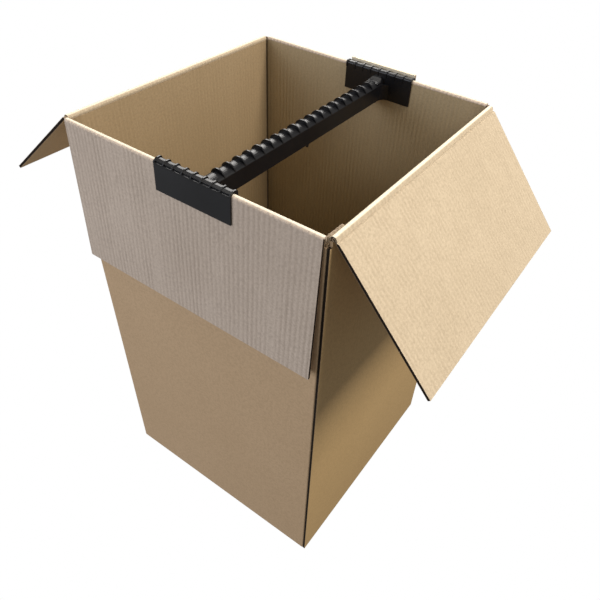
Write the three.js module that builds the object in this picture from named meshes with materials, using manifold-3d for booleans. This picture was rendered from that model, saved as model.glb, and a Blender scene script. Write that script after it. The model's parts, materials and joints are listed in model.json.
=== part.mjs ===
// Wardrobe moving box: a tall corrugated carton with a notched hanging rail across its open top.
// Millimetres, +Z up. The origin is the centre of the base, on the surface that the box stands on.
// The rail runs front to back (along Y). The front wall faces -Y, and the right wall faces +X.
import * as THREE from "three";
import { mergeVertices } from "three/addons/utils/BufferGeometryUtils.js";
import Module from "manifold-3d";

const wasm = await Module();
wasm.setup();

// Carton, inside size and board
const INSIDE_WIDTH = 508;
const INSIDE_DEPTH = 508;
const INSIDE_HEIGHT = 864;
const BOARD = 5;
const LAYER_GAP = 0.4;
const SEAM_GAP = 1.2;
const CORNER_RADIUS = 4;

// Slots between neighbouring flaps
const SLOT_DEPTH = 5;
const SEAM_SLOT_DEPTH = 12.4;
const SLOT_FRONT_FLAP = 8.5;
const SLOT_SIDE_FLAP = 5.5;
const CORNER_POST_RISE = 3;
const CORNER_POST_GAP = 1.2;
const CORNER_POST_INSET = 0.6;

// Side seam at the front right corner
const GLUE_TAB_WIDTH = 37;
const GLUE_TAB_TOP_DROP = 7.5;
const GLUE_TAB_TOP_SLOPE = 3.5;
const GLUE_TAB_BOTTOM_GAP = 8;
const GLUE_TAB_BOTTOM_SLOPE = 7;
const SEAM_FOLD_RADIUS = 3;
const SEAM_EDGE_INSET = 0.6;

// Bottom
const TAPE_THICKNESS = 0.3;
const TAPE_WIDTH = 48;
const TAPE_END_INSET = 10;
const SIDE_FOLD_DROP = 2.7;

// Flaps as they stand in the photograph, in degrees below level, and clearances at the folds
const FRONT_FLAP_ANGLE = 87;
const RIGHT_FLAP_ANGLE = 48;
const LEFT_FLAP_ANGLE = 39.5;
const HINGE_CLEARANCE = 0.3;
const CREASE_THICKNESS = 2.5;
const CREASE_RAMP = 3;

// Hanging rail
const RAIL_OFFSET = 26;
const RAIL_CLEARANCE = 0.3;
const RAIL_HALF_WIDTH = 14;
const RAIL_BOTTOM_DROP = 45;
const RAIL_SIDE_TOP_DROP = 15.3;
const RAIL_VALLEY_DROP = 10;
const RAIL_FIN_CENTRE_DROP = 18;
const RAIL_FIN_RADIUS = 14.1;
const RAIL_WALL = 2.6;
const FIN_PITCH = 23.4;
const FIN_THICKNESS = 2.2;
const FIN_END_CLEAR = 36;
const FLARE_LENGTH = 20;
const FLARE_HALF_WIDTH = 13;
const FLARE_TOE_DROP = 1;
const FLARE_CROWN = 1;
const ROOT_FILLET = 14;
const GATE_NUB_SIZE = 4.5;

// Saddles at the ends of the rail
const SADDLE_WIDTH = 147;
const SADDLE_WALL = 2.5;
const SADDLE_OUTER_LEG = 42;
const SADDLE_RIB_COUNT = 9;
const SADDLE_RIB_WIDTH = 2.4;
const SADDLE_RIB_HEIGHT = 1.6;
const SADDLE_RIB_INNER_DROP = 4;
const SADDLE_SHOULDER_RADIUS = 4.5;
const SADDLE_LEDGE_TOP = 4;
const SADDLE_LEDGE_DEPTH = 2.6;
const SADDLE_RISER_TOP = 6;

// Cut tab of the back flap, which stands up behind the back saddle
const TAB_SIDE_INSET = 2;
const TAB_CLEARANCE = 0.6;
const TAB_RISE = 11;
const TAB_FOLD_DROP = 47;
const TAB_ROOT_DROP = 66;

// How far a cutting shape runs past the solid that it cuts
const CUT_OVERRUN = 1;

// Sizes that follow from the ones above
const halfWidth = INSIDE_WIDTH / 2 + BOARD;
const halfDepth = INSIDE_DEPTH / 2 + BOARD;
const outerFlapTop = TAPE_THICKNESS + BOARD;
const innerFlapBottom = outerFlapTop + LAYER_GAP;
const innerFlapTop = innerFlapBottom + BOARD;
const rim = innerFlapTop + INSIDE_HEIGHT;
const crest = rim + BOARD;
const cornerTop = rim - SLOT_DEPTH;
const sideFoldBottom = innerFlapBottom - SIDE_FOLD_DROP;
const frontFlapHalf = halfWidth - SLOT_FRONT_FLAP;
const sideFlapHalf = halfDepth - SLOT_SIDE_FLAP;
const frontFlapLength = halfDepth - SEAM_GAP / 2;
const sideFlapLength = halfWidth - SEAM_GAP / 2;
const hingeX = halfWidth + HINGE_CLEARANCE;
const sideWallTop = rim - CREASE_THICKNESS - HINGE_CLEARANCE;
const radians = THREE.MathUtils.degToRad;

// A profile drawn on one plane is extruded along the axis that is square to it
const X = new THREE.Vector3(1, 0, 0);
const Y = new THREE.Vector3(0, 1, 0);
const Z = new THREE.Vector3(0, 0, 1);
const PLANES = {
  XY: { across: X, up: Y, along: Z, sign: 1 },
  YZ: { across: Y, up: Z, along: X, sign: 1 },
  XZ: { across: X, up: Z, along: Y.clone().negate(), sign: -1 },
};

function toSolid(geometry) {
  const bare = geometry.clone();
  bare.deleteAttribute("normal");
  bare.deleteAttribute("uv");
  const merged = mergeVertices(bare, 1e-4);
  const mesh = new wasm.Mesh({
    numProp: 3,
    vertProperties: new Float32Array(merged.attributes.position.array),
    triVerts: new Uint32Array(merged.index.array),
  });
  return new wasm.Manifold(mesh);
}

function toGeometry(solid) {
  const mesh = solid.getMesh();
  const geometry = new THREE.BufferGeometry();
  geometry.setAttribute("position", new THREE.BufferAttribute(mesh.vertProperties, 3));
  geometry.setIndex(new THREE.BufferAttribute(mesh.triVerts, 1));
  geometry.computeVertexNormals();
  return geometry;
}

function prism(plane, shape, from, to, curveSegments = 12) {
  const { across, up, along, sign } = PLANES[plane];
  const geometry = new THREE.ExtrudeGeometry(shape, {
    depth: to - from,
    bevelEnabled: false,
    curveSegments,
  });
  geometry.applyMatrix4(new THREE.Matrix4().makeBasis(across, up, along));
  const start = sign > 0 ? from : to;
  const axis = plane === "XY" ? Z : plane === "YZ" ? X : Y;
  geometry.translate(axis.x * start, axis.y * start, axis.z * start);
  return toSolid(geometry);
}

function block(x0, x1, y0, y1, z0, z1) {
  const geometry = new THREE.BoxGeometry(x1 - x0, y1 - y0, z1 - z0);
  geometry.translate((x0 + x1) / 2, (y0 + y1) / 2, (z0 + z1) / 2);
  return toSolid(geometry);
}

function polygon(points) {
  return new THREE.Shape(points.map(([a, b]) => new THREE.Vector2(a, b)));
}

function mirrorY(solid) {
  return solid.mirror([0, 1, 0]);
}

function mirrorX(solid) {
  return solid.mirror([1, 0, 0]);
}

function union(solids) {
  return solids.reduce((sum, next) => sum.add(next));
}

// The four walls as one ring, with the seam's groove and deeper slot at the front right corner
function wallRing() {
  const outline = new THREE.Shape();
  const r = CORNER_RADIUS;
  const seamX = halfWidth - BOARD;
  outline.moveTo(-halfWidth + r, -halfDepth);
  outline.lineTo(seamX - SEAM_FOLD_RADIUS, -halfDepth);
  outline.absarc(seamX - SEAM_FOLD_RADIUS, -halfDepth + SEAM_FOLD_RADIUS,
    SEAM_FOLD_RADIUS, -Math.PI / 2, 0, false);
  outline.lineTo(seamX, -halfDepth + SEAM_EDGE_INSET);
  outline.lineTo(halfWidth, -halfDepth + SEAM_EDGE_INSET);
  outline.lineTo(halfWidth, halfDepth - r);
  outline.absarc(halfWidth - r, halfDepth - r, r, 0, Math.PI / 2, false);
  outline.lineTo(-halfWidth + r, halfDepth);
  outline.absarc(-halfWidth + r, halfDepth - r, r, Math.PI / 2, Math.PI, false);
  outline.lineTo(-halfWidth, -halfDepth + r);
  outline.absarc(-halfWidth + r, -halfDepth + r, r, Math.PI, 1.5 * Math.PI, false);
  const inner = block(-INSIDE_WIDTH / 2, INSIDE_WIDTH / 2, -INSIDE_DEPTH / 2, INSIDE_DEPTH / 2,
    sideFoldBottom - CUT_OVERRUN, rim);
  const seamSlot = block(frontFlapHalf, halfWidth + CUT_OVERRUN,
    -halfDepth - CUT_OVERRUN, -sideFlapHalf, rim - SEAM_SLOT_DEPTH, rim);
  return prism("XY", outline, sideFoldBottom, cornerTop, 6).subtract(inner).subtract(seamSlot);
}

// A point beside the folded front flap: u runs down it from the fold, n runs outwards from it
function alongFlap(u, n) {
  const lean = radians(90 - FRONT_FLAP_ANGLE);
  return [
    -halfDepth - u * Math.sin(lean) - n * Math.cos(lean),
    rim - u * Math.cos(lean) + n * Math.sin(lean),
  ];
}

// The stub of board that stays standing between the slots at a corner that has no seam
function cornerPost() {
  return block(frontFlapHalf + CORNER_POST_GAP, halfWidth - CORNER_POST_INSET,
    sideFlapHalf + CORNER_POST_GAP, halfDepth - CORNER_POST_INSET,
    cornerTop - CORNER_POST_GAP, rim + CORNER_POST_RISE);
}

// Front panel: bottom flap, wall, rolled fold and the top flap that hangs outside
function frontPanel() {
  const lean = radians(90 - FRONT_FLAP_ANGLE);
  const profile = new THREE.Shape();
  profile.moveTo(-halfDepth, rim);
  profile.lineTo(-halfDepth, TAPE_THICKNESS + CORNER_RADIUS);
  profile.absarc(-halfDepth + CORNER_RADIUS, TAPE_THICKNESS + CORNER_RADIUS,
    CORNER_RADIUS, Math.PI, 1.5 * Math.PI, false);
  profile.lineTo(-SEAM_GAP / 2, TAPE_THICKNESS);
  profile.lineTo(-SEAM_GAP / 2, outerFlapTop);
  profile.lineTo(-halfDepth + BOARD, outerFlapTop);
  profile.lineTo(-halfDepth + BOARD, rim);
  profile.absarc(-halfDepth, rim, BOARD, 0, Math.PI - lean, false);
  profile.lineTo(...alongFlap(frontFlapLength, BOARD));
  profile.lineTo(...alongFlap(frontFlapLength, 0));
  return prism("YZ", profile, -frontFlapHalf, frontFlapHalf, 10);
}

// Right panel: the wall up to the moving flap's fold, and the inner bottom flap
function rightPanel() {
  const profile = new THREE.Shape();
  const bulge = frontFlapHalf + LAYER_GAP;
  profile.moveTo(halfWidth, sideWallTop);
  profile.lineTo(halfWidth - BOARD, sideWallTop);
  profile.lineTo(halfWidth - BOARD, innerFlapTop);
  profile.lineTo(SEAM_GAP / 2, innerFlapTop);
  profile.lineTo(SEAM_GAP / 2, innerFlapBottom);
  profile.lineTo(bulge, innerFlapBottom);
  profile.lineTo(bulge, sideFoldBottom);
  profile.lineTo(halfWidth - CORNER_RADIUS / 2, sideFoldBottom);
  profile.absarc(halfWidth - CORNER_RADIUS / 2, sideFoldBottom + CORNER_RADIUS / 2,
    CORNER_RADIUS / 2, -Math.PI / 2, 0, false);
  return prism("XZ", profile, -sideFlapHalf, sideFlapHalf, 6);
}

// Glue tab of the side seam, inside the right wall
function glueTab() {
  const start = -INSIDE_DEPTH / 2;
  const end = start + GLUE_TAB_WIDTH;
  const bottom = innerFlapTop + GLUE_TAB_BOTTOM_GAP;
  const top = rim - GLUE_TAB_TOP_DROP;
  const profile = polygon([
    [start - BOARD / 2, bottom],
    [start, bottom],
    [end, bottom + GLUE_TAB_BOTTOM_SLOPE],
    [end, top - GLUE_TAB_TOP_SLOPE],
    [start, top],
    [start - BOARD / 2, top],
  ]);
  return prism("YZ", profile, INSIDE_WIDTH / 2 - BOARD, INSIDE_WIDTH / 2);
}

// Cut tab that springs off the folded flap, past the saddle's outer leg, and ends above the saddle.
// It is drawn at the front wall and used at the back one.
function standingTab() {
  const near = BOARD + RAIL_CLEARANCE + SADDLE_WALL + TAB_CLEARANCE;
  const far = near + BOARD;
  const profile = polygon([
    alongFlap(-TAB_RISE, near),
    alongFlap(-TAB_RISE, far),
    alongFlap(TAB_FOLD_DROP + BOARD / 2, far),
    alongFlap(TAB_ROOT_DROP + BOARD, BOARD),
    alongFlap(TAB_ROOT_DROP, BOARD / 2),
    alongFlap(TAB_FOLD_DROP, near),
  ]);
  const half = SADDLE_WIDTH / 2 - TAB_SIDE_INSET;
  return prism("YZ", profile, RAIL_OFFSET - half, RAIL_OFFSET + half);
}

function cartonBody() {
  const front = frontPanel();
  const right = rightPanel();
  const back = mirrorY(front.add(standingTab()));
  const post = cornerPost();
  const posts = [post, mirrorX(post), mirrorX(mirrorY(post))];
  return union([wallRing(), front, back, right, mirrorX(right), glueTab(), ...posts]);
}

// A moving top flap, drawn from its fold: u runs to the free edge, n from the outer face to the liner
function topFlap() {
  const rampStart = BOARD + 2 * HINGE_CLEARANCE + LAYER_GAP;
  const panel = polygon([
    [0, 0],
    [sideFlapLength, 0],
    [sideFlapLength, BOARD],
    [rampStart + CREASE_RAMP, BOARD],
    [rampStart, CREASE_THICKNESS],
    [0, CREASE_THICKNESS],
  ]);
  const roll = new THREE.Shape();
  roll.absarc(0, 0, CREASE_THICKNESS, 0, 2 * Math.PI, false);
  return prism("XZ", panel, -sideFlapHalf, sideFlapHalf).add(
    prism("XZ", roll, -sideFlapHalf, sideFlapHalf, 24));
}

// An arch with upright sides: half width, side top and crown, all below the rim or at it
function archShape(half, bottom, sideTop, crown) {
  const rise = crown - sideTop;
  const radius = (half * half + rise * rise) / (2 * rise);
  const reach = Math.asin(half / radius);
  const shape = new THREE.Shape();
  shape.moveTo(-half, bottom);
  shape.lineTo(half, bottom);
  shape.lineTo(half, sideTop);
  shape.absarc(0, crown - radius, radius, Math.PI / 2 - reach, Math.PI / 2 + reach, false);
  return shape;
}

// Where the saddle's inner plate starts and how far out its parts reach, at the front end
const plateInnerFace = -halfDepth + BOARD + RAIL_CLEARANCE + SADDLE_WALL;
const saddleTop = crest + RAIL_CLEARANCE + SADDLE_WALL;

function saddle() {
  const inside = BOARD + RAIL_CLEARANCE;
  const outside = inside + SADDLE_WALL;
  const lean = radians(90 - FRONT_FLAP_ANGLE);
  const outerTop = alongFlap(0, outside);
  const radius = SADDLE_SHOULDER_RADIUS;
  const riser = outerTop[0] + SADDLE_LEDGE_DEPTH;
  const profile = new THREE.Shape();
  profile.moveTo(-halfDepth, saddleTop);
  profile.lineTo(riser, rim + SADDLE_RISER_TOP);
  profile.lineTo(riser, rim + SADDLE_LEDGE_TOP);
  profile.lineTo(outerTop[0], rim + SADDLE_LEDGE_TOP);
  profile.lineTo(...outerTop);
  profile.lineTo(...alongFlap(SADDLE_OUTER_LEG, outside));
  profile.lineTo(...alongFlap(SADDLE_OUTER_LEG, inside));
  profile.absarc(-halfDepth, rim, inside, Math.PI - lean, 0, true);
  profile.lineTo(plateInnerFace - SADDLE_WALL, rim - RAIL_BOTTOM_DROP);
  profile.lineTo(plateInnerFace, rim - RAIL_BOTTOM_DROP);
  profile.lineTo(plateInnerFace, saddleTop - radius);
  profile.absarc(plateInnerFace - radius, saddleTop - radius, radius, 0, Math.PI / 2, false);
  const left = RAIL_OFFSET - SADDLE_WIDTH / 2;
  const body = prism("YZ", profile, left, left + SADDLE_WIDTH, 6);
  const spacing = (SADDLE_WIDTH - SADDLE_RIB_WIDTH) / (SADDLE_RIB_COUNT - 1);
  const rib = prism("YZ", saddleRib(outerTop, riser), left, left + SADDLE_RIB_WIDTH, 5);
  const ribs = [];
  for (let i = 0; i < SADDLE_RIB_COUNT; i++) {
    ribs.push(rib.translate([i * spacing, 0, 0]));
  }
  return union([body, ...ribs]);
}

// One rib over the top of a saddle, from the inner plate to the outer one
function saddleRib(outerTop, riser) {
  const radius = SADDLE_SHOULDER_RADIUS;
  const inner = plateInnerFace + SADDLE_RIB_HEIGHT;
  const top = saddleTop + SADDLE_RIB_HEIGHT;
  const root = SADDLE_WALL / 2;
  const shape = new THREE.Shape();
  shape.moveTo(outerTop[0], rim);
  shape.lineTo(outerTop[0] + root, rim);
  shape.lineTo(riser + root, rim + SADDLE_LEDGE_TOP);
  shape.lineTo(-halfDepth, saddleTop - root);
  shape.lineTo(plateInnerFace - radius, saddleTop - root);
  shape.lineTo(plateInnerFace - root, rim - SADDLE_RIB_INNER_DROP);
  shape.lineTo(plateInnerFace, rim - SADDLE_RIB_INNER_DROP);
  shape.lineTo(inner, rim - SADDLE_RIB_INNER_DROP + SADDLE_RIB_HEIGHT);
  shape.lineTo(inner, top - radius);
  shape.absarc(inner - radius, top - radius, radius, 0, Math.PI / 2, false);
  shape.lineTo(-halfDepth, top);
  shape.lineTo(riser, rim + SADDLE_RISER_TOP + SADDLE_RIB_HEIGHT);
  shape.lineTo(outerTop[0], rim + SADDLE_LEDGE_TOP + SADDLE_RIB_HEIGHT / 2);
  return shape;
}

// The root of the bar: fillets to the plate in plan, and a flare up to the saddle's top
function barRoot() {
  const edge = RAIL_HALF_WIDTH;
  const face = plateInnerFace;
  const reach = ROOT_FILLET;
  const foot = new THREE.Shape();
  foot.moveTo(-edge - reach, face);
  foot.absarc(-edge - reach, face + reach, reach, -Math.PI / 2, 0, false);
  foot.lineTo(edge, face + reach);
  foot.absarc(edge + reach, face + reach, reach, Math.PI, 1.5 * Math.PI, false);
  foot.lineTo(edge + reach, face - SADDLE_WALL / 2);
  foot.lineTo(-edge - reach, face - SADDLE_WALL / 2);
  const fillets = prism("XY", foot, rim - RAIL_BOTTOM_DROP, rim - RAIL_SIDE_TOP_DROP, 5);
  const flareTop = rim - SADDLE_RIB_INNER_DROP / 2;
  const flare = new THREE.Shape();
  flare.moveTo(face - SADDLE_WALL / 2, rim - RAIL_FIN_CENTRE_DROP);
  flare.lineTo(face + FLARE_LENGTH, rim - RAIL_FIN_CENTRE_DROP);
  flare.lineTo(face + FLARE_LENGTH, rim - RAIL_VALLEY_DROP - FLARE_TOE_DROP);
  flare.quadraticCurveTo(face + FLARE_LENGTH / 3, rim - RAIL_VALLEY_DROP, face, flareTop);
  flare.lineTo(face - SADDLE_WALL / 2, flareTop);
  const arch = archShape(FLARE_HALF_WIDTH, rim - RAIL_FIN_CENTRE_DROP - CUT_OVERRUN,
    rim - RAIL_SIDE_TOP_DROP, flareTop + FLARE_CROWN);
  const ramp = prism("YZ", flare, -FLARE_HALF_WIDTH, FLARE_HALF_WIDTH, 5).intersect(
    prism("XZ", arch, face - SADDLE_WALL, face + FLARE_LENGTH + CUT_OVERRUN, 6));
  return fillets.add(ramp).translate([RAIL_OFFSET, 0, 0]);
}

// One fin: the part of a disc that stands above the bar's valleys
function fin(centre) {
  const lowest = RAIL_FIN_CENTRE_DROP - RAIL_SIDE_TOP_DROP;
  const angle = Math.asin(lowest / RAIL_FIN_RADIUS);
  const shape = new THREE.Shape();
  shape.absarc(0, rim - RAIL_FIN_CENTRE_DROP, RAIL_FIN_RADIUS, angle, Math.PI - angle, false);
  const solid = prism("XZ", shape, centre - FIN_THICKNESS / 2, centre + FIN_THICKNESS / 2, 6);
  return solid.translate([RAIL_OFFSET, 0, 0]);
}

function hangingRail() {
  const bottom = rim - RAIL_BOTTOM_DROP;
  const sideTop = rim - RAIL_SIDE_TOP_DROP;
  const valley = rim - RAIL_VALLEY_DROP;
  const outer = archShape(RAIL_HALF_WIDTH, bottom, sideTop, valley);
  const hollow = archShape(RAIL_HALF_WIDTH - RAIL_WALL, bottom - CUT_OVERRUN,
    sideTop - RAIL_WALL, valley - RAIL_WALL);
  const end = plateInnerFace;
  const bar = prism("XZ", outer, end - SADDLE_WALL / 2, -end + SADDLE_WALL / 2, 5)
    .translate([RAIL_OFFSET, 0, 0]);
  const channel = prism("XZ", hollow, end, -end, 4).translate([RAIL_OFFSET, 0, 0]);
  const finsEachSide = Math.floor((-end - FIN_END_CLEAR) / FIN_PITCH);
  const fins = [];
  for (let i = -finsEachSide; i <= finsEachSide; i++) {
    fins.push(fin(i * FIN_PITCH));
  }
  const nubX = RAIL_OFFSET + RAIL_HALF_WIDTH;
  const nub = block(nubX - RAIL_WALL, nubX, -GATE_NUB_SIZE / 2, GATE_NUB_SIZE / 2,
    bottom - GATE_NUB_SIZE, bottom + RAIL_WALL);
  const frontEnd = saddle().add(barRoot());
  return union([bar, ...fins, frontEnd, mirrorY(frontEnd)]).subtract(channel).add(nub);
}

function bottomTape() {
  const half = halfWidth - TAPE_END_INSET;
  return block(-half, half, -TAPE_WIDTH / 2, TAPE_WIDTH / 2, 0, TAPE_THICKNESS);
}

const kraft = new THREE.MeshStandardMaterial({ color: 0xa68a66, roughness: 0.9, metalness: 0 });
const liner = new THREE.MeshStandardMaterial({ color: 0xc9b08a, roughness: 0.9, metalness: 0 });
const blackPlastic = new THREE.MeshStandardMaterial({ color: 0x26272a, roughness: 0.4, metalness: 0 });
const clearTape = new THREE.MeshStandardMaterial({ color: 0xb79a6c, roughness: 0.3, metalness: 0 });

function named(name, solid, material) {
  const mesh = new THREE.Mesh(toGeometry(solid), material);
  mesh.name = name;
  return mesh;
}

// A flap group stands at its fold and is turned to its angle; the left one is the right one turned round
function hingedFlap(name, side, angle) {
  const flap = named(name, topFlap(), liner);
  const lean = new THREE.Group();
  lean.rotation.y = radians(angle);
  lean.add(flap);
  const fold = new THREE.Group();
  fold.position.set(side * hingeX, 0, rim);
  fold.rotation.z = side > 0 ? 0 : Math.PI;
  fold.add(lean);
  return fold;
}

const wardrobeBox = new THREE.Group();
wardrobeBox.add(named("carton_body", cartonBody(), kraft));
wardrobeBox.add(hingedFlap("flap_right", 1, RIGHT_FLAP_ANGLE));
wardrobeBox.add(hingedFlap("flap_left", -1, LEFT_FLAP_ANGLE));
wardrobeBox.add(named("hanging_rail", hangingRail(), blackPlastic));
wardrobeBox.add(named("bottom_tape", bottomTape(), clearTape));

export default wardrobeBox;
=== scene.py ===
"""Looks of the wardrobe moving box: corrugated board, folded creases and a black moulded rail."""

import json
import logging
import math
from dataclasses import dataclass
from enum import Enum
from typing import Callable, Iterable

import bpy
from mathutils import Matrix, Vector


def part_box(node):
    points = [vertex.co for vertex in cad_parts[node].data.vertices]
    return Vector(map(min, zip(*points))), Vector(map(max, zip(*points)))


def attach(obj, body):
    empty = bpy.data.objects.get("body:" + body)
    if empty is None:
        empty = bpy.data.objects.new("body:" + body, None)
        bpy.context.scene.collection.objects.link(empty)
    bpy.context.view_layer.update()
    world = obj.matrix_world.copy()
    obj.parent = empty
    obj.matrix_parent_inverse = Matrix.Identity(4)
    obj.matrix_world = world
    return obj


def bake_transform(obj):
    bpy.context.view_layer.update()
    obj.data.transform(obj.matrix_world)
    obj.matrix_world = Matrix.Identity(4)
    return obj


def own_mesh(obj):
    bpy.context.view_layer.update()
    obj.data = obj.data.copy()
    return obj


logging.basicConfig(level=logging.INFO, format="%(message)s")
log = logging.getLogger("wardrobe_box")

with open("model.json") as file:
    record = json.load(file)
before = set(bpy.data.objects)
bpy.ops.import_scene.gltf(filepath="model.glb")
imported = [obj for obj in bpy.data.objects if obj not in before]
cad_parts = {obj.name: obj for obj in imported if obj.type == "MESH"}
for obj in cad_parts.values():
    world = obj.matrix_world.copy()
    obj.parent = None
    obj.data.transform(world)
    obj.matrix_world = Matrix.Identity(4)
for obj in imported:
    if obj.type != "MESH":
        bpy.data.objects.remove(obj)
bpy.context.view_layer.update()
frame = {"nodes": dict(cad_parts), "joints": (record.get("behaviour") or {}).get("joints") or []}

Colour = tuple[float, float, float]

# The fold line of the right flap, from the frame, and the board, all in metres
RIGHT_FOLD = next(joint["pos_m"] for joint in frame["joints"] if joint["name"] == "right_flap_fold")
HINGE_X, RIM = RIGHT_FOLD[0], RIGHT_FOLD[2]
HINGE_GAP = 0.0003
HALF = HINGE_X - HINGE_GAP
BOARD = 0.005
LINER = 0.0005
FLUTE_PITCH = 0.009
FLUTE_TURN = 2 * math.pi / FLUTE_PITCH

# How far the flaps hang at rest: the moving ones below level, the fixed ones off their walls
RIGHT_ANGLE = math.radians(48.0)
LEFT_ANGLE = math.radians(39.5)
FIXED_LEAN = math.radians(3.0)


class Surface(Enum):
    """The kinds of board surface that a face can show."""

    OUTER = "outer kraft liner"
    OUTER_Y = "outer kraft liner, flutes spaced along Y"
    INNER_X = "inner liner, flutes spaced along X"
    INNER_Y = "inner liner, flutes spaced along Y"
    WALL_X = "inside of a wall, flutes spaced along X"
    WALL_Y = "inside of a wall, flutes spaced along Y"
    TAB = "raised tab behind the back saddle"
    ENDS = "cut across the flutes"
    SIDE = "cut along the flutes"
    TOPS = "slot bottoms at the corners"


@dataclass(frozen=True)
class Pattern:
    """A noise pattern: its frequency per metre, its finer layers, and factors on the three axes."""

    scale: float
    detail: float
    stretch: tuple[float, float, float] = (1, 1, 1)


@dataclass(frozen=True)
class Veil:
    """How strongly a pattern darkens a paper: from which level, how fast, and to which tone."""

    level: float
    gain: float
    tone: float


@dataclass(frozen=True)
class PaperFinish:
    """Colours and relief of one paper liner."""

    name: str
    colour: Colour
    dark: Colour
    flute_axis: str
    flute_contrast: float
    flute_depth: float
    roughness: float = 0.85
    specular: float = 0.25
    shade_to: Colour | None = None

    def tone(self, share: float) -> Colour:
        """Darkens the paper's own dark colour.

        Args:
            share: How much of its brightness is left.

        Returns:
            The darker colour.
        """
        return tuple(part * share for part in self.dark)


@dataclass(frozen=True)
class PlasticFinish:
    """Colour and gloss of a moulded plastic."""

    name: str
    colour: Colour
    roughness: float
    specular: float
    roughness_swing: float = 0.16
    lift: float = 1.7
    grain_depth: float = 0.00006
    grain_strength: float = 0.5


@dataclass(frozen=True)
class CutFinish:
    """Colours of a cut edge, and how wide its liners look beside their real thickness."""

    crosses_flutes: bool
    light: Colour
    dim: Colour
    liner_width: float


@dataclass(frozen=True)
class CutPlane:
    """Where a board lies, so that a cut edge knows how deep a point is inside it."""

    origin: tuple[float, float, float]
    normal: tuple[float, float, float]
    along: str


UPRIGHT = (1, 1, 0.12)
SLOW_WOBBLE = Pattern(9.0, 3.0, UPRIGHT)
QUICK_WOBBLE = Pattern(60.0, 2.0)
FLUTE_FADE = Pattern(42.0, 4.0, UPRIGHT)
FIBRE = Pattern(900.0, 2.0)
MOTTLE = Pattern(260.0, 3.0)
CLOUD = Pattern(6.0, 3.0)
SPECKLE = Pattern(420.0, 1.0)
RAGGED_CUT = Pattern(160.0, 3.0)
CRUSHED_MEDIUM = Pattern(240.0, 3.0)
CUT_TINT = Pattern(500.0, 3.0)
PLASTIC_GRAIN = Pattern(1800.0, 2.0)
PLASTIC_FLOW = Pattern(14.0, 2.0)
TAPE_CLOUD = Pattern(40.0, 3.0)
TAPE_RIPPLE = Pattern(60.0, 2.0, (0.3, 1, 1))

# The flutes under a paper: how far their lines stray, in metres, and how they fade in places
SLOW_STRAY = 0.012
QUICK_STRAY = 0.0022
FADE_LEVEL = 0.22
FADE_GAIN = 1.5

# The paper's own unevenness
CLOUD_SHARE = 0.8
MOTTLE_VEIL = Veil(0.40, 1.5, 0.74)
FIBRE_VEIL = Veil(1 / 3, 0.6, 0.72)
SPECKLE_LEVEL = 0.69
SPECKLE_SHARE = 0.14
SPECKLE_TONE = 0.5
FIBRE_RELIEF = 0.2
MOTTLE_RELIEF = 0.25

# The light that a rolled crease catches, and how the inside of the walls dims downwards
CREST_LIGHT = (0.98, 0.90, 0.73)
CREST_START = 0.0040
CREST_RAMP = 1100.0
CREST_SHARE = 0.65
SHADE_DEPTH = 0.55
SHADE_SHARE = 0.75

# Painted shade: a dark line in each upright corner inside the box, and the softer shade beside it
CORNER_TONE = 0.25
CREASE_WIDTH = 0.0022
CREASE_START = 1.6
CREASE_SHARE = 0.85
SOFT_WIDTH = 0.030
SOFT_SHARE = 0.30

OUTER_KRAFT = PaperFinish("outer_kraft", (0.60, 0.42, 0.255), (0.52, 0.355, 0.205), "X", 0.22, 0.00012)
# Painted light and shade: a darker, yellower copy of the outer kraft, for how the side walls and the right
# flap's underside are lit
OUTER_KRAFT_Y = PaperFinish("outer_kraft_side", (0.52, 0.355, 0.17), (0.45, 0.30, 0.14), "Y", 0.22, 0.00012)
INNER_LINER_X = PaperFinish("inner_liner_x", (0.70, 0.58, 0.475), (0.47, 0.375, 0.295), "X", 0.95, 0.0013)
INNER_LINER_Y = PaperFinish("inner_liner_y", (0.64, 0.53, 0.39), (0.48, 0.385, 0.27), "Y", 0.95, 0.0008)
# Painted shade inside the box: the walls' liner is a darker copy of the flaps' inner liner, darker still on
# the side walls, and shade_to is the painted shade that it darkens to towards the bottom
WALL_LINER_X = PaperFinish(
    "wall_liner_x", (0.58, 0.465, 0.295), (0.48, 0.37, 0.22), "X", 0.8, 0.0007, shade_to=(0.27, 0.185, 0.07))
WALL_LINER_Y = PaperFinish(
    "wall_liner_y", (0.45, 0.33, 0.20), (0.36, 0.26, 0.15), "Y", 0.8, 0.0007, shade_to=(0.20, 0.13, 0.05))
# Painted light: a much lighter copy of the board paper, so that the tab reads as brightly lit
TAB_LINER_LIT = PaperFinish("tab_liner", (0.95, 0.75, 0.49), (0.88, 0.68, 0.42), "X", 0.2, 0.0002)
# Painted light: a lighter copy of the outer kraft, standing in for light bounced onto the left flap's
# underside
FLAP_UNDERSIDE_LIT = PaperFinish("flap_underside", (0.82, 0.62, 0.39), (0.68, 0.50, 0.30), "Y", 0.6, 0.0004)
TORN_PAPER = PaperFinish("torn_paper", (0.60, 0.49, 0.37), (0.24, 0.17, 0.11), "Y", 1.0, 0.0008)
BLACK_PLASTIC = PlasticFinish("black_plastic", (0.004, 0.004, 0.005), 0.31, 0.42)

# Cut board: papers, the painted shade in the flute hollows, the half width of the medium's line, and the
# raggedness of the cut
CUT_PAPER = (0.56, 0.45, 0.32)
CUT_PAPER_DIM = (0.36, 0.26, 0.17)
CUT_PAPER_SHADED = (0.16, 0.11, 0.07)
CUT_HOLLOW_SHADE = (0.018, 0.012, 0.008)
MEDIUM_HALF = 0.00055
MEDIUM_LEVEL = 0.70
CUT_STRAY = 0.0012
CUT_LINER_STRAY = 0.5
CUT_RELIEF = 0.0008
CUT_RELIEF_STRENGTH = 0.6
CUT_ROUGHNESS = 0.95
CUT_SPECULAR = 0.1
ACROSS_FLUTES = CutFinish(True, CUT_PAPER, CUT_PAPER_DIM, 1.4)
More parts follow.
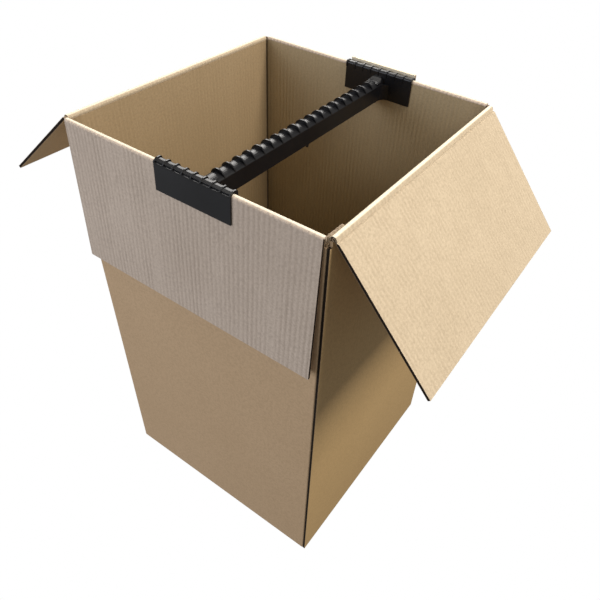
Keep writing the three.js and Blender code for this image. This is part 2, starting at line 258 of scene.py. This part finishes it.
# Painted shade: the cuts along the flutes take darker, shaded copies of the cut papers
ALONG_FLUTES = CutFinish(False, CUT_PAPER_DIM, CUT_PAPER_SHADED, 0.9)

TAPE_LIGHT = (0.40, 0.28, 0.17)
TAPE_DARK = (0.34, 0.23, 0.14)
TAPE_ROUGHNESS = 0.22
TAPE_RELIEF = 0.0001
TAPE_RELIEF_STRENGTH = 0.5

FRONT_FLAP_CUT = CutPlane((0, -HALF, RIM), (0, -math.cos(FIXED_LEAN), math.sin(FIXED_LEAN)), "X")
RIGHT_FLAP_CUT = CutPlane((HINGE_X, 0, RIM), (math.sin(RIGHT_ANGLE), 0, math.cos(RIGHT_ANGLE)), "Y")
LEFT_FLAP_CUT = CutPlane((-HINGE_X, 0, RIM), (-math.sin(LEFT_ANGLE), 0, math.cos(LEFT_ANGLE)), "Y")
SLOT_CUT = CutPlane((HALF, 0, 0), (-1, 0, 0), "Y")

# How squarely a face has to look along an axis to count as facing it
SQUARELY = 0.9
MOSTLY = 0.5
PARTLY = 0.3

# Where the body's faces tell one surface from another, in metres
OUTSIDE_WALLS = HALF + 0.0006
BEHIND_FLAP = HALF + BOARD + 0.0026
TAB_REACH = 0.060
SLOT_REACH = 0.013
SLOT_START_X = 0.25
SEAM_FACE_DEPTH = 0.002
SEAM_START_X = HALF - BOARD + 0.0005
ROLL_DEPTH = 0.001
OUTER_SKIN_X = HALF - 0.002


class Value:
    """A shader socket with arithmetic, so that a node tree reads like a formula."""

    def __init__(self, tree: bpy.types.NodeTree, socket: bpy.types.NodeSocket | float) -> None:
        self.tree = tree
        self.socket = socket

    def _math(self, operation: str, other: "Value | float | None" = None) -> "Value":
        node = self.tree.nodes.new("ShaderNodeMath")
        node.operation = operation
        plug(self.tree, self, node.inputs[0])
        if other is not None:
            plug(self.tree, other, node.inputs[1])
        return Value(self.tree, node.outputs[0])

    def __add__(self, other: "Value | float") -> "Value":
        return self._math("ADD", other)

    def __sub__(self, other: "Value | float") -> "Value":
        return self._math("SUBTRACT", other)

    def __mul__(self, other: "Value | float") -> "Value":
        return self._math("MULTIPLY", other)

    def __gt__(self, other: "Value | float") -> "Value":
        return self._math("GREATER_THAN", other)

    def __lt__(self, other: "Value | float") -> "Value":
        return self._math("LESS_THAN", other)

    def sine(self) -> "Value":
        """Returns: the sine of the value."""
        return self._math("SINE")

    def absolute(self) -> "Value":
        """Returns: the value without its sign."""
        return self._math("ABSOLUTE")

    def clamp(self) -> "Value":
        """Returns: the value held between 0 and 1."""
        node = self.tree.nodes.new("ShaderNodeClamp")
        plug(self.tree, self, node.inputs[0])
        return Value(self.tree, node.outputs[0])


def plug(tree: bpy.types.NodeTree, source: "Value | float", target: bpy.types.NodeSocket) -> None:
    """Feeds a value, or a plain number, into a socket.

    Args:
        tree: The node tree that holds both.
        source: What to feed in.
        target: The input socket.
    """
    if isinstance(source, Value):
        tree.links.new(source.socket, target)
    else:
        target.default_value = source


class Shader:
    """One material's node tree, and the few nodes that the finishes are built from."""

    def __init__(self, name: str) -> None:
        self.material = bpy.data.materials.new(name)
        self.material.use_nodes = True
        self.tree = self.material.node_tree
        self.principled = self.tree.nodes["Principled BSDF"]

    def node(self, kind: str, **settings: object) -> bpy.types.Node:
        """Adds a node.

        Args:
            kind: The node's type name, without its ShaderNode start.
            settings: Properties to set on it.

        Returns:
            The new node.
        """
        made = self.tree.nodes.new("ShaderNode" + kind)
        for key, value in settings.items():
            setattr(made, key, value)
        return made

    def position(self) -> tuple[Value, Value, Value]:
        """Returns: the X, Y and Z of the shaded point, in the piece's own coordinates."""
        coordinates = self.node("TexCoord")
        split = self.node("SeparateXYZ")
        self.tree.links.new(coordinates.outputs["Object"], split.inputs[0])
        return tuple(Value(self.tree, split.outputs[i]) for i in range(3))

    def noise(self, pattern: Pattern) -> Value:
        """Adds a noise pattern over the piece.

        Args:
            pattern: Its frequency, finer layers and factors on the axes.

        Returns:
            The noise, around 0.5.
        """
        coordinates = self.node("TexCoord")
        mapping = self.node("Mapping")
        mapping.inputs["Scale"].default_value = pattern.stretch
        noise = self.node("TexNoise")
        noise.inputs["Scale"].default_value = pattern.scale
        noise.inputs["Detail"].default_value = pattern.detail
        self.tree.links.new(coordinates.outputs["Object"], mapping.inputs[0])
        self.tree.links.new(mapping.outputs[0], noise.inputs["Vector"])
        return Value(self.tree, noise.outputs["Fac"])

    def mix(self, factor: Value | float, first: object, second: object) -> bpy.types.NodeSocket:
        """Mixes two colours, each a colour socket or three numbers.

        Args:
            factor: 0 gives the first, 1 the second.
            first: The first colour.
            second: The second colour.

        Returns:
            The mixed colour's socket.
        """
        made = self.node("Mix", data_type="RGBA")
        plug(self.tree, factor, made.inputs[0])
        for socket, colour in ((made.inputs[6], first), (made.inputs[7], second)):
            if isinstance(colour, bpy.types.NodeSocket):
                self.tree.links.new(colour, socket)
            else:
                socket.default_value = (*colour, 1.0)
        return made.outputs[2]

    def bump(self, height: Value, distance: float, strength: float = 1.0) -> None:
        """Gives the surface relief.

        Args:
            height: The relief's height.
            distance: The real height of one unit, in metres.
            strength: How much of it shows.
        """
        made = self.node("Bump")
        made.inputs["Strength"].default_value = strength
        made.inputs["Distance"].default_value = distance
        plug(self.tree, height, made.inputs["Height"])
        self.tree.links.new(made.outputs[0], self.principled.inputs["Normal"])

    def colour(self, socket: bpy.types.NodeSocket) -> None:
        """Feeds a colour into the surface.

        Args:
            socket: The colour's socket.
        """
        self.tree.links.new(socket, self.principled.inputs["Base Color"])

    def gloss(self, roughness: Value | float, specular: float | None = None) -> None:
        """Sets how rough and how shiny the surface is.

        Args:
            roughness: Its roughness.
            specular: The strength of its reflection, or None to leave it as it is.
        """
        plug(self.tree, roughness, self.principled.inputs["Roughness"])
        if specular is not None:
            self.principled.inputs["Specular IOR Level"].default_value = specular


def flute_wave(shader: Shader, along: Value) -> Value:
    """Draws the rounded lines of the flutes.

    Args:
        shader: The paper's shader.
        along: The coordinate that the flutes are spaced along.

    Returns:
        1 on a flute's crest and 0 between two.
    """
    slow = (shader.noise(SLOW_WOBBLE) - 0.5) * SLOW_STRAY
    quick = (shader.noise(QUICK_WOBBLE) - 0.5) * QUICK_STRAY
    return ((along + (slow + quick)) * FLUTE_TURN).sine() * 0.5 + 0.5


def shaded_wall(shader: Shader, base: bpy.types.NodeSocket, finish: PaperFinish) -> bpy.types.NodeSocket:
    """Paints shade on the inside of a wall: darker downwards and into the upright corners.

    Args:
        shader: The paper's shader.
        base: The paper's colour so far.
        finish: The paper, which has a colour to shade to.

    Returns:
        The shaded colour.
    """
    x, y, z = shader.position()
    depth = ((z - RIM) * (-1 / SHADE_DEPTH)).clamp()
    dimmed = shader.mix(depth * SHADE_SHARE, base, finish.shade_to)
    return shader.mix(corner_closeness(x, y), dimmed, finish.tone(CORNER_TONE))


def lit_crest(shader: Shader, base: bpy.types.NodeSocket) -> bpy.types.NodeSocket:
    """Lightens the paper where it rolls over a crease at the rim.

    Args:
        shader: The paper's shader.
        base: The paper's colour so far.

    Returns:
        The lit colour.
    """
    height = shader.position()[2]
    crest = ((height - (RIM + CREST_START)) * CREST_RAMP).clamp()
    return shader.mix(crest * CREST_SHARE, base, CREST_LIGHT)


def paper(finish: PaperFinish) -> bpy.types.Material:
    """Builds a paper liner that shows the flutes below it.

    Args:
        finish: The liner's colours and relief.

    Returns:
        The material.
    """
    shader = Shader(finish.name)
    wave = flute_wave(shader, shader.position()["XYZ".index(finish.flute_axis)])
    flutes = wave * ((shader.noise(FLUTE_FADE) - FADE_LEVEL) * FADE_GAIN)
    fibre, mottle = shader.noise(FIBRE), shader.noise(MOTTLE)
    base = shader.mix(shader.noise(CLOUD) * CLOUD_SHARE, finish.colour, finish.dark)
    base = shader.mix((flutes * finish.flute_contrast).clamp(), base, finish.dark)
    for pattern, veil in ((mottle, MOTTLE_VEIL), (fibre, FIBRE_VEIL)):
        base = shader.mix((pattern - veil.level) * veil.gain, base, finish.tone(veil.tone))
    speckle = (shader.noise(SPECKLE) > SPECKLE_LEVEL) * SPECKLE_SHARE
    base = shader.mix(speckle, base, finish.tone(SPECKLE_TONE))
    shader.colour(shaded_wall(shader, base, finish) if finish.shade_to else lit_crest(shader, base))
    shader.gloss(finish.roughness, finish.specular)
    shader.bump(flutes + fibre * FIBRE_RELIEF + mottle * MOTTLE_RELIEF, finish.flute_depth)
    return shader.material


def corner_closeness(x: Value, y: Value) -> Value:
    """Says how near a point inside the box is to an upright corner, for the painted corner shade.

    Args:
        x: The point's X.
        y: The point's Y.

    Returns:
        1 in the corner's crease, a little beside it, and 0 on the walls.
    """
    inside = HALF - BOARD
    from_corner = (x.absolute() + y.absolute()) * -1.0 + 2 * inside
    crease = (from_corner * (-1 / CREASE_WIDTH) + CREASE_START).clamp()
    soft = (from_corner * (-1 / SOFT_WIDTH) + 1.0).clamp()
    return (crease * CREASE_SHARE + soft * SOFT_SHARE).clamp()


def board_depth(places: tuple[Value, Value, Value], plane: CutPlane) -> Value:
    """Says how far a point lies from the middle of its board, in front of it or behind.

    Args:
        places: The point's X, Y and Z.
        plane: Where the board lies.

    Returns:
        The distance in metres.
    """
    terms = [(value - start) * part for value, start, part in zip(places, plane.origin, plane.normal)]
    return terms[0] + terms[1] + terms[2] - BOARD / 2


def cut_edge(name: str, plane: CutPlane, finish: CutFinish) -> bpy.types.Material:
    """Builds a board's cut edge: two liners and the wavy medium between them, with painted shade in the
    hollows.

    Args:
        name: The material's name.
        plane: Where the board's outer face lies, and the axis that the edge runs along.
        finish: The papers' colours, and whether the cut crosses the flutes.

    Returns:
        The material.
    """
    shader = Shader(name)
    places = shader.position()
    depth = board_depth(places, plane)
    ragged = (shader.noise(RAGGED_CUT) - 0.5) * CUT_STRAY
    liner = (depth.absolute() + ragged * CUT_LINER_STRAY) > (BOARD / 2 - LINER * finish.liner_width)
    if finish.crosses_flutes:
        along = places["XYZ".index(plane.along)]
        wave = (along * FLUTE_TURN).sine() * (BOARD / 2 - LINER)
        medium = (depth - wave + ragged).absolute() < MEDIUM_HALF
    else:
        medium = shader.noise(CRUSHED_MEDIUM) > MEDIUM_LEVEL
    solid = (liner + medium).clamp()
    papers = shader.mix(shader.noise(CUT_TINT), finish.light, finish.dim)
    # Painted shade: the hollows between the papers are near black
    shader.colour(shader.mix(solid, CUT_HOLLOW_SHADE, papers))
    shader.gloss(CUT_ROUGHNESS, CUT_SPECULAR)
    shader.bump(solid, CUT_RELIEF, CUT_RELIEF_STRENGTH)
    return shader.material


def plastic(finish: PlasticFinish) -> bpy.types.Material:
    """Builds a moulded plastic with a fine grain.

    Args:
        finish: The plastic's colour and gloss.

    Returns:
        The material.
    """
    shader = Shader(finish.name)
    flow = shader.noise(PLASTIC_FLOW)
    lighter = tuple(part * finish.lift for part in finish.colour)
    shader.colour(shader.mix(flow, finish.colour, lighter))
    swing = finish.roughness_swing
    shader.gloss(flow * swing + (finish.roughness - swing / 2), finish.specular)
    shader.bump(shader.noise(PLASTIC_GRAIN), finish.grain_depth, finish.grain_strength)
    return shader.material


def tape_film() -> bpy.types.Material:
    """Builds the packing tape: clear film over brown board.

    Returns:
        The material.
    """
    shader = Shader("tape_film")
    shader.colour(shader.mix(shader.noise(TAPE_CLOUD), TAPE_LIGHT, TAPE_DARK))
    shader.gloss(TAPE_ROUGHNESS)
    shader.bump(shader.noise(TAPE_RIPPLE), TAPE_RELIEF, TAPE_RELIEF_STRENGTH)
    return shader.material


class Skin:
    """Gives each face of a CAD node the board surface that it shows."""

    def __init__(self, node: str, materials: dict[Surface, bpy.types.Material]) -> None:
        self.object = frame["nodes"][node]
        self.order = list(materials)
        self.object.data.materials.clear()
        for material in materials.values():
            self.object.data.materials.append(material)

    def apply(self, choose: Callable[[Vector, Vector], Surface]) -> None:
        """Picks a surface for every face.

        Args:
            choose: Takes a face's centre and normal, and returns its surface.
        """
        counts: dict[Surface, int] = {}
        for face in self.object.data.polygons:
            surface = choose(face.center, face.normal)
            face.material_index = self.order.index(surface)
            counts[surface] = counts.get(surface, 0) + 1
        log.info("%s: %s", self.object.name, {s.name: n for s, n in counts.items()})


def shows_tab(centre: Vector, normal: Vector) -> bool:
    """Says whether a face belongs to the raised tab behind the back saddle.

    Args:
        centre: The face's centre.
        normal: The face's normal.

    Returns:
        True where it does.
    """
    beyond_flap = centre.y > BEHIND_FLAP and centre.z > RIM - TAB_REACH
    return beyond_flap and (normal.y < -MOSTLY or normal.z > SQUARELY)


def shows_slot(centre: Vector, normal: Vector) -> bool:
    """Says whether a face is a slot's cut at a corner, on its bottom or beside the seam.

    Args:
        centre: The face's centre.
        normal: The face's normal.

    Returns:
        True where it is.
    """
    bottom = centre.z > RIM - SLOT_REACH and normal.z > SQUARELY and abs(centre.x) > SLOT_START_X
    at_front = -OUTSIDE_WALLS <= centre.y < -HALF + SEAM_FACE_DEPTH and normal.y < -SQUARELY
    return bottom or (at_front and centre.x > SEAM_START_X)


def fixed_flap_surface(centre: Vector, normal: Vector) -> Surface:
    """Says what a face of the front or back flap shows.

    Args:
        centre: The face's centre.
        normal: The face's normal.

    Returns:
        The surface.
    """
    if abs(normal.x) > SQUARELY:
        return Surface.SIDE
    if normal.z < -SQUARELY:
        return Surface.ENDS
    if shows_slot(centre, normal):
        return Surface.TOPS
    facing_out = normal.y * centre.y > 0
    return Surface.INNER_X if facing_out or centre.z > RIM else Surface.OUTER


def wall_surface(centre: Vector, normal: Vector) -> Surface:
    """Says what a face of a wall or of the bottom shows.

    Args:
        centre: The face's centre.
        normal: The face's normal.

    Returns:
        The surface.
    """
    if shows_slot(centre, normal):
        return Surface.TOPS
    if centre.z > RIM - ROLL_DEPTH:
        return Surface.INNER_X
    if abs(normal.x) > SQUARELY:
        facing_out = normal.x * centre.x > 0
        return Surface.OUTER_Y if facing_out and abs(centre.x) > OUTER_SKIN_X else Surface.WALL_Y
    if abs(normal.y) > MOSTLY:
        return Surface.OUTER if normal.y * centre.y > 0 else Surface.WALL_X
    return Surface.OUTER if normal.z < 0 else Surface.WALL_X


def body_surface(centre: Vector, normal: Vector) -> Surface:
    """Says what a face of the carton body shows.

    Args:
        centre: The face's centre.
        normal: The face's normal.

    Returns:
        The surface.
    """
    if shows_tab(centre, normal):
        return Surface.TAB
    outside = abs(centre.y) > OUTSIDE_WALLS
    return fixed_flap_surface(centre, normal) if outside else wall_surface(centre, normal)


def flap_surface(plane: CutPlane) -> Callable[[Vector, Vector], Surface]:
    """Makes the rule for a moving flap's faces.

    Args:
        plane: The flap's own plane.

    Returns:
        A rule that takes a face's centre and normal.
    """
    outward = Vector(plane.normal)

    def choose(_: Vector, normal: Vector) -> Surface:
        if abs(normal.y) > SQUARELY:
            return Surface.SIDE
        facing = normal.dot(outward)
        if facing > PARTLY:
            return Surface.INNER_Y
        if facing < -SQUARELY:
            return Surface.OUTER_Y
        return Surface.ENDS

    return choose


@dataclass(frozen=True)
class FoldRoll:
    """The liner that rolls over a crease from the wall's inside to the moving flap.

    Lengths are in metres. The roll's two tails dive into the boards, so that their ends are hidden.
    """

    name: str
    side: int
    node: str
    body: str
    angle: float
    tail: float = 0.005
    dive: float = 0.0012
    tail_share: float = 0.16
    radius: float = BOARD + 0.00025
    sheet: float = 0.0004
    end_gap: float = 0.0004
    steps_round: int = 28
    steps_along: int = 24
    smooth_degrees: float = 60

    def _point(self, share: float) -> tuple[float, float]:
        """Gives a point of the roll's section.

        Args:
            share: 0 at the wall, 1 at the flap.

        Returns:
            Its distance out from the fold line and its height over it.
        """
        flap_tail = 1 - self.tail_share
        end = math.pi / 2 - self.angle
        if share < self.tail_share:
            left = 1 - share / self.tail_share
            return -(self.radius - left * self.dive), -self.tail * left
        if share > flap_tail:
            left = (share - flap_tail) / self.tail_share
            reach, sunk = self.tail * left, self.radius - left * self.dive
            out = sunk * math.cos(end) + reach * math.cos(self.angle)
            return out, sunk * math.sin(end) - reach * math.sin(self.angle)
        turn = math.pi + (end - math.pi) * (share - self.tail_share) / (flap_tail - self.tail_share)
        return self.radius * math.cos(turn), self.radius * math.sin(turn)

    def build(self, material: bpy.types.Material) -> bpy.types.Object:
        """Makes the roll and bends it between the carton and the flap.

        Args:
            material: The liner's paper.

        Returns:
            The new piece.
        """
        low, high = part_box(self.node)
        length = high.y - low.y - 2 * self.end_gap
        roll = new_grid(self.name, self.steps_round, self.steps_along)
        for vertex in roll.data.vertices:
            out, up = self._point(vertex.co.x + 0.5)
            vertex.co = (self.side * (HINGE_X + out), vertex.co.y * length, RIM + up)
        if self.side < 0:
            flip_faces(roll)
        thicken(roll, self.sheet)
        smooth(roll, self.smooth_degrees)
        roll.data.materials.append(material)
        out, up = self._point(1 - self.tail_share)
        self.side * (HINGE_X - BOARD)
        self.side * (HINGE_X + out)
        RIM + up
        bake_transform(roll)
        log.info("%s: fold roll over the crease", self.name)
        return roll


@dataclass(frozen=True)
class TearWave:
    """One wave of a tear's ragged line, in metres and radians."""

    length: float
    height: float
    phase: float = 0.0


@dataclass(frozen=True)
class TornEdge:
    """The torn top of the glue tab: soft board that gives way when the flap closes over it.

    Lengths are in metres. The root is the CAD tab's own top, which falls away from the corner.
    """

    name: str = "glue_tab_torn_edge"
    outer_x: float = HALF - BOARD - 0.0003
    thickness: float = 0.0045
    start_y: float = -(HALF - BOARD - 0.0004)
    length: float = 0.0360
    root_z: float = RIM - 0.0074
    root_fall: float = 0.0034
    top_z: float = RIM + 0.0028
    top_fall: float = 0.0012
    keep: float = 0.15
    steps_along: int = 90
    steps_up: int = 3
    waves: tuple[TearWave, ...] = (
        TearWave(FLUTE_PITCH, 0.0006),
        TearWave(0.0023, 0.00035),
        TearWave(0.0061, 0.00035, 1.3),
    )

    def build(self, face: bpy.types.Material, torn: bpy.types.Material) -> bpy.types.Object:
        """Makes the torn edge.

        Args:
            face: The paper of its two faces.
            torn: The paper of its torn top.

        Returns:
            The new piece.
        """
        edge = new_grid(self.name, self.steps_along, self.steps_up)
        for vertex in edge.data.vertices:
            share, rise = vertex.co.x + 0.5, vertex.co.y + 0.5
            y = self.start_y + share * self.length
            root = self.root_z - share * self.root_fall
            top = self.top_z - share * self.top_fall + self._tear(y)
            vertex.co = (self.outer_x, y, root + rise * (top - root))
        thicken(edge, self.thickness)
        edge.data.materials.append(face)
        edge.data.materials.append(torn)
        for polygon in edge.data.polygons:
            polygon.material_index = int(polygon.normal.z > PARTLY)
        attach(edge, "carton")
        self.root_z - self.root_fall
        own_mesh(edge)
        log.info("%s: torn board over the glue tab", self.name)
        return edge

    def _tear(self, y: float) -> float:
        """Gives the ragged height of the tear.

        Args:
            y: The place along the edge.

        Returns:
            The height over the mean, in metres.
        """
        return sum(w.height * math.sin(y * 2 * math.pi / w.length + w.phase) for w in self.waves)


def new_grid(name: str, steps_x: int, steps_y: int) -> bpy.types.Object:
    """Adds a flat grid, one metre wide, to be shaped into a piece.

    Args:
        name: The piece's name.
        steps_x: How many steps it has along X.
        steps_y: How many steps it has along Y.

    Returns:
        The grid.
    """
    deselect()
    bpy.ops.mesh.primitive_grid_add(x_subdivisions=steps_x, y_subdivisions=steps_y, size=1.0)
    grid = bpy.context.object
    grid.name = name
    return grid


def deselect() -> None:
    """Leaves nothing selected, so that an operator touches only the new piece."""
    if bpy.context.object and bpy.context.object.mode != "OBJECT":
        bpy.ops.object.mode_set(mode="OBJECT")
    bpy.ops.object.select_all(action="DESELECT")


def activate(piece: bpy.types.Object) -> None:
    """Selects one piece and makes it active.

    Args:
        piece: The piece.
    """
    deselect()
    piece.select_set(True)
    bpy.context.view_layer.objects.active = piece


def flip_faces(piece: bpy.types.Object) -> None:
    """Turns a piece's faces round.

    Args:
        piece: The piece.
    """
    activate(piece)
    bpy.ops.object.mode_set(mode="EDIT")
    bpy.ops.mesh.select_all(action="SELECT")
    bpy.ops.mesh.flip_normals()
    bpy.ops.object.mode_set(mode="OBJECT")


def thicken(piece: bpy.types.Object, thickness: float) -> None:
    """Gives a sheet its thickness.

    Args:
        piece: The sheet.
        thickness: In metres, inwards from its faces.
    """
    activate(piece)
    solidify = piece.modifiers.new("sheet", "SOLIDIFY")
    solidify.thickness = thickness
    solidify.offset = -1
    bpy.ops.object.modifier_apply(modifier=solidify.name)


def smooth(piece: bpy.types.Object, degrees: float) -> None:
    """Shades a piece smooth where its faces meet gently.

    Args:
        piece: The piece.
        degrees: The largest angle that is smoothed.
    """
    activate(piece)
    bpy.ops.object.shade_smooth_by_angle(angle=math.radians(degrees))


BODY_SMOOTH_DEGREES = 30
RAIL_SMOOTH_DEGREES = 35


class Carton:
    """Everything of the box that is board."""

    def __init__(self) -> None:
        self.liner_y = paper(INNER_LINER_Y)
        self.kraft_side = paper(OUTER_KRAFT_Y)

    def dress_body(self) -> None:
        """Gives the fixed panels their papers and cut edges."""
        body = Skin("carton_body", {
            Surface.OUTER: paper(OUTER_KRAFT),
            Surface.OUTER_Y: self.kraft_side,
            Surface.INNER_X: paper(INNER_LINER_X),
            Surface.WALL_X: paper(WALL_LINER_X),
            Surface.WALL_Y: paper(WALL_LINER_Y),
            Surface.TAB: paper(TAB_LINER_LIT),
            Surface.ENDS: cut_edge("front_flap_ends", FRONT_FLAP_CUT, ACROSS_FLUTES),
            Surface.SIDE: cut_edge("front_flap_side", FRONT_FLAP_CUT, ALONG_FLUTES),
            Surface.TOPS: cut_edge("corner_cut", SLOT_CUT, ALONG_FLUTES),
        })
        body.apply(body_surface)
        smooth(body.object, BODY_SMOOTH_DEGREES)

    def dress_flap(self, node: str, plane: CutPlane, underside: bpy.types.Material) -> None:
        """Gives a moving flap its papers and cut edges.

        Args:
            node: The flap's CAD node.
            plane: The flap's plane.
            underside: The paper of its outer face, which looks down while the box is open.
        """
        flap = Skin(node, {
            Surface.OUTER_Y: underside,
            Surface.INNER_Y: self.liner_y,
            Surface.ENDS: cut_edge(node + "_ends", plane, ACROSS_FLUTES),
            Surface.SIDE: cut_edge(node + "_side", plane, ALONG_FLUTES),
        })
        flap.apply(flap_surface(plane))

    def build(self) -> None:
        """Dresses the board nodes, and adds the rolls over the creases and the torn edge."""
        self.dress_body()
        self.dress_flap("flap_right", RIGHT_FLAP_CUT, self.kraft_side)
        self.dress_flap("flap_left", LEFT_FLAP_CUT, paper(FLAP_UNDERSIDE_LIT))
        FoldRoll("fold_roll_right", 1, "flap_right", "right_flap", RIGHT_ANGLE).build(self.liner_y)
        FoldRoll("fold_roll_left", -1, "flap_left", "left_flap", LEFT_ANGLE).build(self.liner_y)
        TornEdge().build(self.liner_y, paper(TORN_PAPER))


def dress_rail() -> None:
    """Gives the rail its plastic and smooth shading."""
    rail = frame["nodes"]["hanging_rail"]
    rail.data.materials.clear()
    rail.data.materials.append(plastic(BLACK_PLASTIC))
    smooth(rail, RAIL_SMOOTH_DEGREES)
    log.info("hanging_rail: black moulded plastic")


def dress_tape() -> None:
    """Gives the bottom tape its film."""
    tape = frame["nodes"]["bottom_tape"]
    tape.data.materials.clear()
    tape.data.materials.append(tape_film())
    log.info("bottom_tape: packing tape")


@dataclass(frozen=True)
class View:
    """The camera as it was fitted to the picture, angles in degrees and lengths in metres."""

    azimuth: float = 32.44
    elevation: float = 43.33
    roll: float = 4.0
    place: tuple[float, float, float] = (0.56091, -0.75955, 1.31011)
    focal_pixels: float = 577.52
    centre_pixels: tuple[float, float] = (315.09, 308.57)
    picture_pixels: float = 600.0
    sensor_mm: float = 36.0
    near: float = 0.01
    far: float = 50.0


def place_camera(view: View) -> None:
    """Puts the camera where the picture was taken from.

    Args:
        view: The fitted view.
    """
    azimuth, elevation = math.radians(view.azimuth), math.radians(view.elevation)
    back = Vector((
        math.sin(azimuth) * math.cos(elevation),
        -math.cos(azimuth) * math.cos(elevation),
        math.sin(elevation),
    ))
    right = Vector((math.cos(azimuth), math.sin(azimuth), 0))
    up = back.cross(right)
    roll = math.radians(view.roll)
    rolled_right = right * math.cos(roll) + up * math.sin(roll)
    rolled_up = up * math.cos(roll) - right * math.sin(roll)
    data = bpy.data.cameras.new("camera")
    data.sensor_width = view.sensor_mm
    data.lens = view.focal_pixels * view.sensor_mm / view.picture_pixels
    middle = view.picture_pixels / 2
    data.shift_x = (middle - view.centre_pixels[0]) / view.picture_pixels
    data.shift_y = (view.centre_pixels[1] - middle) / view.picture_pixels
    data.clip_start, data.clip_end = view.near, view.far
    camera = bpy.data.objects.new("camera", data)
    bpy.context.scene.collection.objects.link(camera)
    turn = Matrix((rolled_right, rolled_up, back)).transposed()
    camera.matrix_world = Matrix.Translation(view.place) @ turn.to_4x4()
    bpy.context.scene.camera = camera


@dataclass(frozen=True)
class Lamp:
    """One area light: its place, what it points at, its size and power."""

    name: str
    place: tuple[float, float, float]
    target: tuple[float, float, float]
    size: float
    power: float
    colour: tuple[float, float, float] = (1.0, 1.0, 1.0)


LAMPS = (
    Lamp("key", (2.3, 0.3, 3.4), (0.1, 0, 0.7), 1.3, 138, (1.0, 0.945, 0.85)),
    Lamp("front_fill", (-1.7, -3.0, 1.3), (0, 0, 0.5), 2.6, 64, (0.92, 0.97, 1.08)),
    Lamp("back_glow", (-2.1, 2.4, 2.7), (0, 0, 0.85), 2.0, 76, (1.0, 0.97, 0.93)),
    Lamp("top_fill", (-0.6, 0.4, 3.4), (0, 0, 0.6), 1.6, 18, (1.0, 0.96, 0.88)),
)
AMBIENT_COLOUR = (1, 0.985, 0.96)
AMBIENT_STRENGTH = 0.27
LIGHT_BOUNCES = 8


def add_lights(lamps: Iterable[Lamp]) -> None:
    """Adds the lights.

    Args:
        lamps: The lights to add.
    """
    for lamp in lamps:
        data = bpy.data.lights.new(lamp.name, "AREA")
        data.energy = lamp.power
        data.size = lamp.size
        data.color = lamp.colour
        light = bpy.data.objects.new(lamp.name, data)
        bpy.context.scene.collection.objects.link(light)
        light.location = lamp.place
        aim = Vector(lamp.target) - Vector(lamp.place)
        light.rotation_mode = "QUATERNION"
        light.rotation_quaternion = aim.to_track_quat("-Z", "Y")


def white_world(strength: float) -> None:
    """Makes the surroundings white to the camera and softly lit otherwise.

    Args:
        strength: How strongly the surroundings light the box.
    """
    world = bpy.data.worlds.new("studio")
    bpy.context.scene.world = world
    world.use_nodes = True
    nodes, links = world.node_tree.nodes, world.node_tree.links
    nodes.clear()
    output = nodes.new("ShaderNodeOutputWorld")
    mixer = nodes.new("ShaderNodeMixShader")
    lit, seen = nodes.new("ShaderNodeBackground"), nodes.new("ShaderNodeBackground")
    lit.inputs["Color"].default_value = (*AMBIENT_COLOUR, 1)
    lit.inputs["Strength"].default_value = strength
    seen.inputs["Color"].default_value = (1, 1, 1, 1)
    seen.inputs["Strength"].default_value = 1.0
    path = nodes.new("ShaderNodeLightPath")
    links.new(path.outputs["Is Camera Ray"], mixer.inputs[0])
    links.new(lit.outputs[0], mixer.inputs[1])
    links.new(seen.outputs[0], mixer.inputs[2])
    links.new(mixer.outputs[0], output.inputs[0])


def render_settings() -> None:
    """Sets the colour handling."""
    scene = bpy.context.scene
    scene.view_settings.view_transform = "Standard"
    scene.view_settings.look = "None"
    scene.render.engine = "CYCLES"
    scene.cycles.max_bounces = LIGHT_BOUNCES


def main() -> None:
    """Builds the looks, the view and the light."""
    Carton().build()
    dress_rail()
    dress_tape()
    place_camera(View())
    add_lights(LAMPS)
    white_world(AMBIENT_STRENGTH)
    render_settings()


if __name__ == "__main__":
    main()
